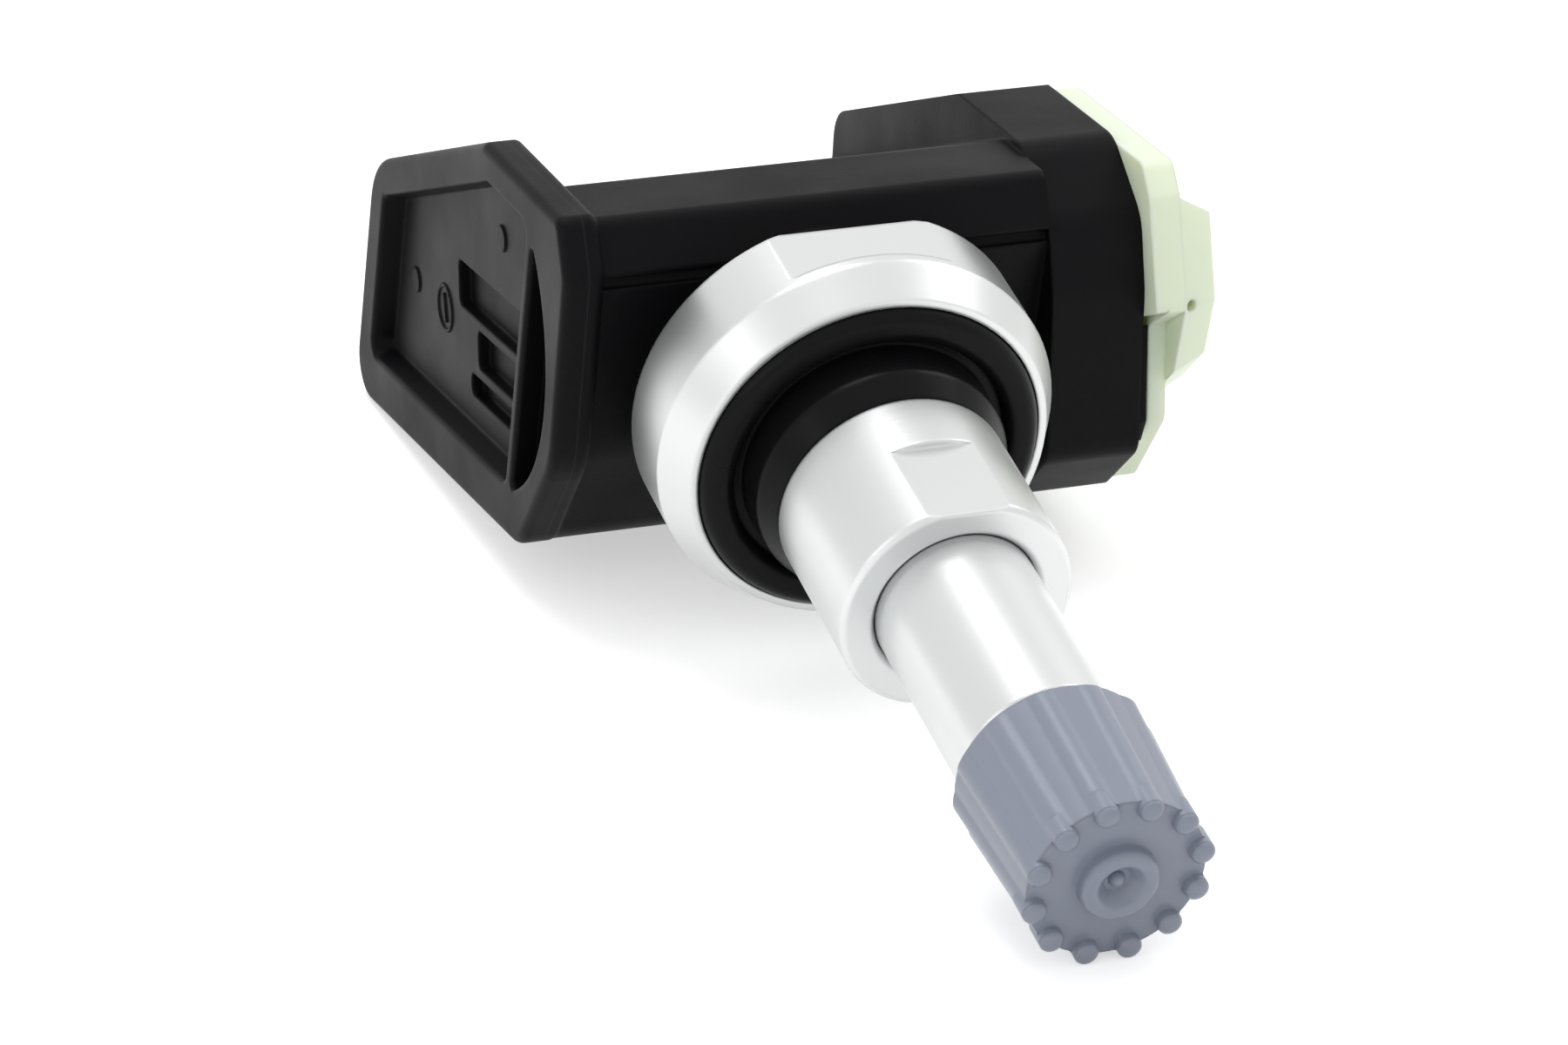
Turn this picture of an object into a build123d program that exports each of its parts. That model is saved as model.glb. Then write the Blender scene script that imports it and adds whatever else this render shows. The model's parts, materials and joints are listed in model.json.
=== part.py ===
from build123d import *
from math import atan2, cos, degrees, hypot, radians, sin, tan
import os

# Millimetres. The origin is the centre of the rubber grommet's sealing face, on the valve stem's axis.
# +X runs along the housing to its lid, -Y to the valve cap, +Z up from the table the part lies on.

# How the part lies: the stem falls to its cap while the housing's crown rises to the front.
stem_fall = 12.9
body_rise = 22.0
stem_tilt = stem_fall + body_rise

# Clearances: a seated fit, a sliding fit and the air kept round loose pieces.
snug = 0.05
slip = 0.15
air = 0.4

# Housing outline in its end view: distance back from the collar's front, then height above the stem axis.
crown = 17.8
waist_top = 15.1
crown_back_left = (37.2, crown)
crown_back_right = (35.0, crown)
crown_front = (15.3, crown)
brow = (3.5, 13.4)
nose = (3.4, 10.3)
jaw = (9.4, 1.0)
toe = (17.0, -3.2)
heel = (46.4, 5.5)
waist_brow = (9.2, waist_top)
waist_lip = (4.1, 13.2)
waist_jaw = 1.55
slit_top = 10.3
slit_high = 0.55
slit_deep = 0.9
cheek_top = (6.9, 14.7)
cheek = (4.3, 10.4)
cheek_low = (4.9, 6.6)
chin = (8.0, -1.6)
chin_back = (13.2, -3.45)
chin_foot = -2.9
crown_step = 1.4
heel_round = 2.2
edge_round = 0.5

# Stations along the housing's length, and its walls.
left_end = -13.7
left_flange = 2.2
waist_long = 24.0
right_flange = 5.1
wall = 1.6
left_inner = left_end + left_flange
right_inner = left_inner + waist_long
right_end = right_inner + right_flange

# Dish in the left end, the crescent cored out in front of it, and the pockets in the dish's floor: each one's
# height and how far back from the toe it ends.
recess_deep = 1.3
recess_rim = 2.4
recess_raise = (-0.3, 0.45)
recess_round = 0.9
recess_draft = 15
crescent_deep = 5.5
crescent_wall = 0.8
crescent_top = 5.3
crescent_foot = -10.0
crescent_round = 0.3
rim_round = 0.25
pocket_deep = 0.7
pocket_low = 4.8
pocket_rib = 0.5
pocket_rows = [(1.3, 11.8), (2.2, 10.4), (2.6, 13.6)]
hollow_left = left_end + recess_deep + wall

# Valve seat: the collar's place and depth, and the flat that the housing turns to it.
grommet_proud = 0.6
collar_front = -grommet_proud
collar_deep = 6.4
collar_back = collar_front - collar_deep
collar_d = 20.9
collar_bevel = (1.05, 2.0)
collar_flats = 19.1
collar_flat_long = 3.8
seat_flat = 9.4
seat_web = 3.2
boss_d = 14.4
tunnel_d = 7.6
tunnel_wall = 1.3
screw_seat = seat_flat + seat_web
front_wall = screw_seat + 3.1

# Stem, grommet and sleeve nut. Distances along the stem count from the sealing face.
stem_d = 8.3
stem_head_d = 13.0
stem_head_deep = 2.0
stem_shoulder = 24.0
thread_d = 7.7
thread_long = 7.2
stem_end = stem_shoulder + thread_long
stem_edge = 0.2
neck_root_d = 13.2
neck_tip_d = 11.8
neck_end = 2.7
groove_wide = 0.55
groove_deep = 0.9
bead_wide = 1.8
grommet_d = neck_root_d + 2 * (groove_wide + bead_wide)
grommet_deep = 2.6
nut_d = 12.0
nut_end = 12.0
nut_flats = 11.2
nut_flat_long = 5.5
nut_edge = 0.25

# Fixing screw with an air passage through it.
screw_d = 4.0
screw_head_d = 7.0
screw_head_deep = 2.6
screw_long = 11.0
screw_edge = 0.4
socket_d = 2.9
socket_lobe_d = 0.84
socket_deep = 1.7
air_bore_d = 1.6

# Valve core, screwed into the stem's tip.
core_sunk = 0.6
core_top = stem_end - core_sunk
core_thread_d = 5.0
core_thread_long = 5.6
core_tube_d = 3.8
core_long = 13.0
core_wall = 0.65
core_floor = 0.9
core_neck = core_top - core_thread_long
core_foot = core_top - core_long
core_bore_d = core_tube_d - 2 * core_wall
core_slot = (1.1, 1.6)
ring_long = 1.55
ring_cone = 0.9
ring_top = core_neck - 0.7
ring_foot = ring_top - ring_long
pin_d = 1.0
pin_travel = 1.5
pin_plate = 0.6
pin_stop_d = 2.0
pin_stop_thick = 0.5
pin_head_d = 1.7
cup_d = core_tube_d - 0.5
cup_long = 1.9
pin_foot = core_foot - cup_long - pin_plate
pin_stop = core_top - 1.9
pin_tip = core_top + 0.4
chamber_d = core_tube_d + 0.2
chamber_from = pin_foot - pin_travel - 0.6
spring_wire = 0.26
spring_turns = 6
spring_mean_d = core_bore_d - spring_wire - 0.44

# Cap and the washer in its roof.
cap_wall = 0.4
cap_flare = 0.45
cap_ribs = 12
rib_d = 2.0
rib_proud = 0.2
stud_d = 1.2
stud_long = 1.3
stud_proud = 0.35
washer_thick = 0.8
washer_hole_d = 3.0
cap_top_wall = 0.7
cap_bevel = 0.6
cap_boss_d = 3.9
cap_boss_high = 0.8
cap_dimple_d = 2.5
cap_bore_d = thread_d + 2 * slip
cap_d = cap_bore_d + 2 * cap_wall
cap_back = stem_shoulder + 2 * slip
cap_roof = stem_end + slip + washer_thick + snug
cap_face = cap_roof + cap_top_wall
rib_ring = cap_d / 2 + rib_proud - rib_d / 2
stud_ring = cap_d / 2 + stud_proud - stud_d / 2

# Lid: plate with a notch in its inner layer for the housing's key, outer block, inner locating rim and the
# air port in the block's front.
lid_thick = 1.7
lid_inset = 0.3
lid_block = 2.2
lid_block_draft = 25
lid_block_wall = 2.2
lid_roof = 1.4
lid_plug = 1.6
lid_rim = 1.1
lid_nose = (3.0, 11.3)
lid_lip = (3.6, 5.4)
notch_top = (8.0, 5.2)
notch_foot = (9.6, -1.6)
key_wide = 1.0
key_thick = 0.7
block_top = 11.2
block_back = (39.0, 8.9)
block_peak = (36.0, 12.6)
block_chin = (6.4, 2.2)
block_foot = (10.0, 0.9)
port_d = 0.6
port_high = 3.9
port_side = 0.45

# Board, cell and the parts on the board. Heights are above the housing's underside.
tab_thick = 0.2
tab_wide = 3.6
tab_tongue = 2.4
cell_d = 20.0
cell_thick = 3.2
cell_step = (1.2, 0.3)
cell_low = wall + tab_thick + 0.6
board_thick = 1.0
board_low = cell_low + cell_thick + tab_thick + 0.55
board_top = board_low + board_thick
board_left = hollow_left + 0.3
board_right = right_end - lid_plug - air
rail_ledge = 1.0
rail_wide = 2.6
rail_thick = 1.0
chip_wide = 7.0
chip_high = 2.3
chip_vent_d = 2.2
crystal_size = (5.0, 3.2, 1.2)
coil_post = (3.4, 1.2, 2.8)
coil_span = 8.0
coil_bar = (1.6, 1.2)
coil_wound = (3.0, 6.6, 2.4)
capacitor_size = (2.0, 1.25, 0.9)
capacitor_step = 2.5
aerial_wire = 0.8
aerial_high = 2.2

# Working planes: across the stem, along the stem, across the housing and on its underside.
stem_dir = Vector(0, -cos(radians(stem_fall)), -sin(radians(stem_fall)))
stem_axis = Axis((0, 0, 0), stem_dir)
seat = Plane(origin=(0, 0, 0), x_dir=(1, 0, 0), z_dir=stem_dir)
half = Plane(
    origin=(0, 0, 0),
    x_dir=(1, 0, 0),
    z_dir=(0, sin(radians(stem_fall)), -cos(radians(stem_fall))),
)
side = Plane(
    origin=stem_dir * collar_front,
    x_dir=(0, cos(radians(body_rise)), -sin(radians(body_rise))),
    z_dir=(1, 0, 0),
)
foot_angle = degrees(atan2(heel[1] - toe[1], heel[0] - toe[0]))
foot_long = hypot(heel[0] - toe[0], heel[1] - toe[1])
base_slope = foot_angle - body_rise
toe_point = side.from_local_coords(Vector(toe[0], toe[1], 0))
end_view = Plane(
    origin=toe_point,
    x_dir=(0, cos(radians(base_slope)), sin(radians(base_slope))),
    z_dir=(1, 0, 0),
)
base = Plane(
    origin=toe_point,
    x_dir=(1, 0, 0),
    z_dir=(0, -sin(radians(base_slope)), cos(radians(base_slope))),
)


def on_flat(depth, height):
    """A point of the end view that lies this far behind the collar's front along the stem, at this height."""
    back = (depth - height * sin(radians(stem_tilt))) / cos(radians(stem_tilt))
    return (back, height)


def along_flat(depth, up):
    """A point of the end view given by depth along the stem and distance up across it."""
    back = depth * cos(radians(stem_tilt)) - up * sin(radians(stem_tilt))
    height = depth * sin(radians(stem_tilt)) + up * cos(radians(stem_tilt))
    return (back, height)


def on_edge(start, end, height):
    """The point at this height on the line through two points of the end view."""
    share = (height - start[1]) / (end[1] - start[1])
    return (start[0] + share * (end[0] - start[0]), height)


def before_depth(depth):
    """A broad outline of all that lies in front of this depth along the stem."""
    return [
        along_flat(depth, crown),
        along_flat(depth, -crown),
        along_flat(depth - 2 * crown, -crown),
        along_flat(depth - 2 * crown, crown),
    ]


def front_at(rise):
    """How far back from the toe the hollow's front wall stands at this height above the underside."""
    lean = radians(stem_tilt - foot_angle)
    toe_depth = toe[0] * cos(radians(stem_tilt)) + toe[1] * sin(radians(stem_tilt))
    return (front_wall - toe_depth - rise * sin(lean)) / cos(lean)


def back_at(rise):
    """How far back from the toe the hollow's back wall stands at this height above the underside."""
    lean = atan2(crown - heel[1], crown_back_left[0] - heel[0]) - radians(foot_angle)
    return foot_long + rise / tan(lean) - wall / sin(lean)


waist_back = on_edge(crown_back_left, heel, waist_top)
waist_inside = [waist_back, waist_brow, waist_lip, jaw, toe, heel]

left_outline = [crown_back_left, crown_front, brow, nose, jaw, toe, heel]
left_rounds = [4.5, 1.2, 0.8, 1.5, 6.0, 3.0, heel_round]

waist_outline = [
    waist_back,
    waist_brow,
    waist_lip,
    (waist_lip[0], slit_top),
    (waist_lip[0] + slit_deep, slit_top),
    (waist_lip[0] + slit_deep, slit_top - slit_high),
    on_flat(seat_flat, slit_top - slit_high),
    on_flat(seat_flat, waist_jaw),
    toe,
    heel,
]
waist_rounds = [1.0, 1.0, 0.8, 0.2, 0.0, 0.0, 0.1, 5.0, 3.0, heel_round]

right_outline = [
    crown_back_right,
    crown_front,
    cheek_top,
    cheek,
    cheek_low,
    chin,
    chin_back,
    on_edge(toe, heel, chin_foot),
    heel,
    waist_back,
    (crown_back_right[0] + crown_step, waist_top),
]
right_rounds = [2.4, 0.8, 2.5, 2.5, 4.0, 1.6, 2.0, 0.0, heel_round, 1.0, 0.6]

key_top = (notch_top[0] - air - key_wide, notch_top[1] - air)
key_foot = (notch_foot[0] - air - key_wide, notch_foot[1] + air + key_wide)
lid_front = [
    (crown_back_right[0] - lid_inset, crown - lid_inset),
    (crown_front[0], crown - lid_inset),
    (brow[0], brow[1] - lid_inset),
    lid_nose,
    lid_lip,
]
lid_back = [
    (chin_back[0], chin_back[1] + lid_inset),
    on_edge(toe, heel, chin_foot + lid_inset),
    (heel[0] - 4 * lid_inset, heel[1]),
    (waist_back[0] - 2 * lid_inset, waist_top - lid_inset),
    (crown_back_right[0] + crown_step - lid_inset, waist_top - lid_inset),
]
lid_rounds = [2.4, 0.8, 0.8, 0.8, 0.4, 0.4, 1.0, 1.5, 0.0, 1.8, 0.8, 0.6]

# The hollow for the electronics: the waist's inside, ended in front by the wall behind the valve seat,
# with the screw's tunnel left standing in it.
with BuildPart() as hollow:
    with BuildSketch(side.offset(hollow_left)):
        with BuildLine():
            Polyline(*waist_inside, close=True)
        make_face()
        offset(amount=-wall, kind=Kind.INTERSECTION)
        with BuildLine():
            Polyline(*before_depth(front_wall), close=True)
        make_face(mode=Mode.SUBTRACT)
    extrude(amount=right_end - hollow_left)
    with BuildSketch(seat.offset(collar_front - screw_seat)):
        Circle(tunnel_d / 2 + tunnel_wall)
    extrude(amount=-foot_long, mode=Mode.SUBTRACT)

# Housing: glass-filled nylon moulding with a raised flange at each end of a lower waist. Its front turns
# a flat to the valve, and the left end is dished, with a crescent and three pockets cored out of it.
with BuildPart() as housing:
    with BuildSketch(side.offset(left_end)):
        with BuildLine():
            FilletPolyline(*left_outline, radius=left_rounds, close=True)
        make_face()
    extrude(amount=left_flange)
    fillet(housing.faces().filter_by(Axis.X).edges(), edge_round)
    with BuildSketch(side.offset(right_inner)):
        with BuildLine():
            FilletPolyline(*right_outline, radius=right_rounds, close=True)
        make_face()
    extrude(amount=right_flange)
    with BuildSketch(side.offset(left_inner - edge_round)):
        with BuildLine():
            FilletPolyline(*waist_outline, radius=waist_rounds, close=True)
        make_face()
    extrude(amount=waist_long + edge_round)
    with BuildSketch(seat.offset(collar_front - screw_seat)):
        Circle(boss_d / 2)
    extrude(amount=screw_seat - collar_deep)
    with BuildSketch(side.offset(left_end) * Pos(*recess_raise)) as recess:
        with BuildLine():
            Polyline(*left_outline, close=True)
        make_face()
        offset(amount=-recess_rim, kind=Kind.INTERSECTION)
        with BuildLine():
            Polyline(*before_depth(front_wall - crescent_wall), close=True)
        make_face(mode=Mode.SUBTRACT)
        fillet(recess.vertices(), recess_round)
    extrude(amount=recess_deep, taper=recess_draft, mode=Mode.SUBTRACT)
    with BuildSketch(side.offset(left_end)) as crescent:
        with BuildLine():
            crescent_back = Line(
                along_flat(front_wall - wall, crescent_top),
                along_flat(front_wall - wall, crescent_foot),
            )
            ThreePointArc(
                crescent_back @ 1,
                along_flat(seat_flat + crescent_wall, (crescent_top + crescent_foot) / 2),
                crescent_back @ 0,
            )
        make_face()
        fillet(crescent.vertices(), crescent_round)
    extrude(amount=crescent_deep, mode=Mode.SUBTRACT)
    rims = housing.faces().sort_by(Axis.X)[0].inner_wires()
    fillet(rims.edges(), rim_round)
    with BuildSketch(end_view.offset(left_end + recess_deep)):
        low = pocket_low
        for high, back in pocket_rows:
            with BuildLine():
                FilletPolyline(
                    (front_at(low), low),
                    (back, low),
                    (back, low + high),
                    (front_at(low + high), low + high),
                    radius=edge_round,
                    close=True,
                )
            make_face()
            low += high + pocket_rib
    extrude(amount=pocket_deep, mode=Mode.SUBTRACT)
    add(hollow.part, mode=Mode.SUBTRACT)
    board_front = front_at(board_low) + air
    board_back = back_at(board_top) - air
    with BuildSketch(end_view.offset(hollow_left)):
        with Locations((board_front + rail_ledge, board_low)):
            Rectangle(rail_wide, rail_thick, align=(Align.MAX, Align.MAX))
        with Locations((board_back - rail_ledge, board_low)):
            Rectangle(rail_wide, rail_thick, align=(Align.MIN, Align.MAX))
    extrude(amount=board_right - hollow_left)
    with BuildSketch(seat.offset(collar_front - screw_seat)):
        Circle(tunnel_d / 2)
    extrude(amount=-foot_long, mode=Mode.SUBTRACT)
    with BuildSketch(seat.offset(collar_front)):
        Circle(screw_d / 2 + slip)
    extrude(amount=-screw_seat - wall, mode=Mode.SUBTRACT)
    with BuildSketch(side.offset(right_end)):
        with BuildLine():
            Polyline(
                (notch_top[0] - air, key_top[1]),
                (notch_foot[0] - air, notch_foot[1] + air),
                key_foot,
                key_top,
                close=True,
            )
        make_face()
    extrude(amount=key_thick - snug)
housing.part.label = "housing"

# Lid: pale natural nylon plate welded over the housing's open end, with a raised hollow block outside
# and a locating rim inside. Its inner layer is notched round the housing's key, and a small air port enters
# the block's front.
with BuildPart() as lid:
    with BuildSketch(side.offset(right_end)):
        with BuildLine():
            FilletPolyline(*lid_front, notch_top, notch_foot, *lid_back, radius=lid_rounds, close=True)
        make_face()
    extrude(amount=key_thick)
    with BuildSketch(side.offset(right_end + key_thick)):
        with BuildLine():
            FilletPolyline(*lid_front, key_top, key_foot, *lid_back, radius=lid_rounds, close=True)
        make_face()
    extrude(amount=lid_thick - key_thick)
    block_outline = [
        (lid_nose[0] + lid_inset, block_top),
        (lid_lip[0] + lid_inset, lid_lip[1]),
        block_chin,
        block_foot,
        block_back,
        block_peak,
    ]
    with BuildSketch(side.offset(right_end + lid_thick)):
        with BuildLine():
            Polyline(*block_outline, close=True)
        make_face()
    extrude(amount=lid_block, taper=lid_block_draft)
    fillet(lid.faces().sort_by(Axis.X)[-1].edges(), lid_inset)
    with BuildSketch(side.offset(right_end)):
        with BuildLine():
            Polyline(*block_outline, close=True)
        make_face()
        offset(amount=-lid_block_wall, kind=Kind.INTERSECTION)
    extrude(amount=lid_thick + lid_block - lid_roof, mode=Mode.SUBTRACT)
    with BuildSketch(side.offset(right_end)) as plug_outline:
        with BuildLine():
            Polyline(*waist_inside, close=True)
        make_face()
        offset(amount=-wall - slip, kind=Kind.INTERSECTION)
        with BuildLine():
            Polyline(*before_depth(front_wall + slip), close=True)
        make_face(mode=Mode.SUBTRACT)
        offset(plug_outline.sketch, amount=-lid_rim, kind=Kind.INTERSECTION, mode=Mode.SUBTRACT)
    extrude(amount=-lid_plug)
    port = side.from_local_coords(Vector(0, port_high, right_end + lid_thick + port_side))
    with BuildSketch(Plane(origin=port, z_dir=(0, 1, 0))):
        Circle(port_d / 2)
    extrude(amount=lid_nose[0] + 3 * lid_block_wall, mode=Mode.SUBTRACT)
lid.part.label = "lid"

# Board with its parts, slid into the housing on two rails.
board_mid = ((board_left + board_right) / 2, (board_front + board_back) / 2)
with BuildPart() as board:
    with BuildSketch(base.offset(board_low)):
        with Locations(board_mid):
            RectangleRounded(board_right - board_left, board_back - board_front, board_thick)
    extrude(amount=board_thick)
board.part.label = "board"

# Lithium coin cell: can, with its smaller negative face turned down.
with BuildPart() as cell:
    with BuildSketch(base.offset(cell_low)):
        with Locations(board_mid):
            Circle(cell_d / 2 - cell_step[0])
    extrude(amount=cell_step[1])
    with BuildSketch(base.offset(cell_low + cell_step[1])):
        with Locations(board_mid):
            Circle(cell_d / 2)
    extrude(amount=cell_thick - cell_step[1])
cell.part.label = "cell"

# Welded nickel tabs from the cell's two faces up to the board, the lower one round the cell's rim.
tab_apart = cell_d / 5
tab_plus_end = board_mid[0] + cell_d / 2 + air
tab_minus_end = tab_plus_end + tab_apart / 4
with BuildPart() as tab_plus:
    with BuildSketch(base.offset(cell_low + cell_thick)):
        with Locations((tab_plus_end, board_mid[1] - tab_apart)):
            Rectangle(tab_plus_end - board_mid[0], tab_wide, align=(Align.MAX, Align.CENTER))
    extrude(amount=tab_thick)
    with BuildSketch(base.offset(cell_low + cell_thick)):
        with Locations((tab_plus_end, board_mid[1] - tab_apart)):
            Rectangle(tab_thick, tab_tongue, align=(Align.MAX, Align.CENTER))
    extrude(amount=board_low - cell_low - cell_thick)
tab_plus.part.label = "tab_plus"

with BuildPart() as tab_minus:
    with BuildSketch(base.offset(cell_low - tab_thick)):
        with Locations((tab_minus_end, board_mid[1] + tab_apart)):
            Rectangle(tab_minus_end - board_mid[0], tab_wide, align=(Align.MAX, Align.CENTER))
    extrude(amount=tab_thick)
    with BuildSketch(base.offset(cell_low - tab_thick)):
        with Locations((tab_minus_end, board_mid[1] + tab_apart)):
            Rectangle(tab_thick, tab_tongue, align=(Align.MAX, Align.CENTER))
    extrude(amount=board_low - cell_low + tab_thick)
tab_minus.part.label = "tab_minus"

# Pressure sensor: moulded package with a vent hole in its top.
chip_at = (board_right - 0.85 * chip_wide, board_mid[1] + 0.2 * chip_wide)
with BuildPart() as sensor_chip:
    with BuildSketch(base.offset(board_top)):
        with Locations(chip_at):
            RectangleRounded(chip_wide, chip_wide, lid_inset)
    extrude(amount=chip_high)
    chamfer(sensor_chip.faces().sort_by(Axis.Z)[-1].edges(), 0.1 * chip_high)
    with BuildSketch(base.offset(board_top + chip_high / 2)):
        with Locations(chip_at):
            Circle(chip_vent_d / 2)
    extrude(amount=chip_high, mode=Mode.SUBTRACT)
sensor_chip.part.label = "sensor_chip"

# Quartz crystal in its metal can.
crystal_at = (chip_at[0], board_front + 1.6 * crystal_size[1])
with BuildPart() as crystal:
    with BuildSketch(base.offset(board_top)):
        with Locations(crystal_at):
            RectangleRounded(crystal_size[0], crystal_size[1], edge_round)
    extrude(amount=crystal_size[2])
    chamfer(crystal.faces().sort_by(Axis.Z)[-1].edges(), edge_round / 2)
crystal.part.label = "crystal"

# Wake-up coil: ferrite bobbin and its winding.
coil_at = (board_left + coil_post[0] + edge_round, board_mid[1])
coil_bar_low = board_top + (coil_post[2] - coil_bar[1]) / 2
with BuildPart() as coil_core:
    with BuildSketch(base.offset(board_top)):
        with Locations(coil_at):
            with GridLocations(0, coil_span, 1, 2):
                Rectangle(coil_post[0], coil_post[1])
    extrude(amount=coil_post[2])
    with BuildSketch(base.offset(coil_bar_low)):
        with Locations(coil_at):
            Rectangle(coil_bar[0], coil_span)
    extrude(amount=coil_bar[1])
coil_core.part.label = "coil_core"

with BuildPart() as coil_winding:
    with BuildSketch(base.offset(board_top + (coil_post[2] - coil_wound[2]) / 2)):
        with Locations(coil_at):
            RectangleRounded(coil_wound[0], coil_wound[1], edge_round)
    extrude(amount=coil_wound[2])
    with BuildSketch(base.offset(coil_bar_low)):
        with Locations(coil_at):
            Rectangle(coil_bar[0], coil_span)
    extrude(amount=coil_bar[1], mode=Mode.SUBTRACT)
coil_winding.part.label = "coil_winding"

# Ceramic chip capacitors, all alike: a column beside the sensor and a pair beside the coil.
with BuildPart() as capacitors:
    with BuildSketch(base.offset(board_top)):
        with Locations((chip_at[0] - chip_wide / 2 - capacitor_step, board_mid[1])):
            with GridLocations(0, capacitor_step, 1, 3):
                Rectangle(capacitor_size[0], capacitor_size[1])
        with Locations((board_mid[0] - capacitor_step, board_mid[1] + coil_span * 0.7)):
            with GridLocations(1.2 * capacitor_step, 0, 2, 1):
                Rectangle(capacitor_size[0], capacitor_size[1])
    extrude(amount=capacitor_size[2])
capacitors.part.label = "capacitors"

# Loop aerial of stiff wire along the board's back edge.
aerial_at = board_back - coil_post[0] * 0.85
aerial_left = board_left + 2 * aerial_wire
aerial_right = board_right - 4 * aerial_wire
aerial_plane = Plane(base.from_local_coords(Vector(0, aerial_at, 0)), x_dir=(1, 0, 0), z_dir=-end_view.x_dir)
with BuildPart() as aerial:
    with BuildLine(aerial_plane):
        wire_path = FilletPolyline(
            (aerial_left, board_top),
            (aerial_left, board_top + aerial_high),
            (aerial_right, board_top + aerial_high),
            (aerial_right, board_top),
            radius=1.2 * aerial_wire,
        )
    with BuildSketch(base.offset(board_top)):
        with Locations((aerial_left, aerial_at)):
            Circle(aerial_wire / 2)
    sweep(path=wire_path.wire())
aerial.part.label = "aerial"

# Collar: turned aluminium, dished in front for the grommet and behind for the stem's head. Two spanner
# flats are milled into it behind the bevelled front ring.
with BuildPart() as collar:
    with BuildSketch(half):
        with BuildLine():
            Polyline(
                (stem_d / 2 + snug, collar_front - grommet_deep),
                (grommet_d / 2 + snug, collar_front - grommet_deep),
                (grommet_d / 2 + snug, collar_front),
                (collar_d / 2 - collar_bevel[0], collar_front),
                (collar_d / 2, collar_front - collar_bevel[1]),
                (collar_d / 2, collar_back + edge_round / 2),
                (collar_d / 2 - edge_round / 2, collar_back),
                (stem_head_d / 2 + snug, collar_back),
                (stem_head_d / 2 + snug, collar_back + stem_head_deep + snug),
                (stem_d / 2 + snug, collar_back + stem_head_deep + snug),
                close=True,
            )
        make_face()
    revolve(axis=stem_axis)
    with BuildSketch(seat.offset(collar_back)):
        Rectangle(2 * collar_d, 2 * collar_d)
        Rectangle(2 * collar_d, collar_flats, mode=Mode.SUBTRACT)
    extrude(amount=collar_flat_long, mode=Mode.SUBTRACT)
collar.part.label = "collar"

# Grommet: rubber ring with a rounded sealing bead, a groove and a conical neck that fills the rim hole.
with BuildPart() as grommet:
    with BuildSketch(half):
        with BuildLine():
            FilletPolyline(
                (stem_d / 2 + snug, collar_front - grommet_deep),
                (grommet_d / 2, collar_front - grommet_deep),
                (grommet_d / 2, 0.0),
                (grommet_d / 2 - bead_wide, 0.0),
                (grommet_d / 2 - bead_wide, -groove_deep),
                (neck_root_d / 2, -groove_deep),
                (neck_root_d / 2, neck_end / 2),
                (neck_tip_d / 2, neck_end),
                (stem_d / 2 + snug, neck_end),
                radius=[0.0, 0.0, 0.45 * bead_wide, 0.35 * bead_wide, 0.0, 0.0, neck_end / 4, 0.0, 0.0],
                close=True,
            )
        make_face()
    revolve(axis=stem_axis)
grommet.part.label = "grommet"

# Stem: hollow aluminium valve body, screwed on from behind, with the cap's thread on its tip. Its bore
# opens from the screw's thread to the chamber of the valve core and the cone that the core seals on.
air_way = air_bore_d / 2 + edge_round
with BuildPart() as stem:
    with BuildSketch(half):
        with BuildLine():
            Polyline(
                (screw_d / 2 + snug, collar_back),
                (stem_head_d / 2, collar_back),
                (stem_head_d / 2, collar_back + stem_head_deep),
                (stem_d / 2, collar_back + stem_head_deep),
                (stem_d / 2, stem_shoulder - stem_edge),
                (stem_d / 2 - stem_edge, stem_shoulder),
                (thread_d / 2, stem_shoulder),
                (thread_d / 2, stem_end - 2 * stem_edge),
                (thread_d / 2 - 2 * stem_edge, stem_end),
                (core_thread_d / 2 + snug, stem_end),
                (core_thread_d / 2 + snug, ring_foot + ring_cone + snug),
                (chamber_d / 2, ring_foot - core_sunk / 2),
                (chamber_d / 2, chamber_from),
                (air_way, chamber_from - chamber_d / 2 + air_way),
                (air_way, collar_front - screw_seat + screw_long + 2 * air),
                (screw_d / 2 + snug, collar_front - screw_seat + screw_long + snug),
                close=True,
            )
        make_face()
    revolve(axis=stem_axis)
stem.part.label = "stem"

# Sleeve nut: round aluminium nut with two spanner flats, run up to the grommet's neck.
with BuildPart() as sleeve_nut:
    with BuildSketch(half):
        with BuildLine():
            Polyline(
                (stem_d / 2 + snug, neck_end),
                (nut_d / 2 - nut_edge, neck_end),
                (nut_d / 2, neck_end + nut_edge),
                (nut_d / 2, nut_end - nut_edge),
                (nut_d / 2 - nut_edge, nut_end),
                (stem_d / 2 + snug + nut_edge, nut_end),
                (stem_d / 2 + snug, nut_end - nut_edge),
                close=True,
            )
        make_face()
    revolve(axis=stem_axis)
    with BuildSketch(seat.offset(nut_end)):
        Rectangle(2 * nut_d, 2 * nut_d)
        Rectangle(2 * nut_d, nut_flats, mode=Mode.SUBTRACT)
    extrude(amount=-nut_flat_long, mode=Mode.SUBTRACT)
sleeve_nut.part.label = "sleeve_nut"

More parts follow.
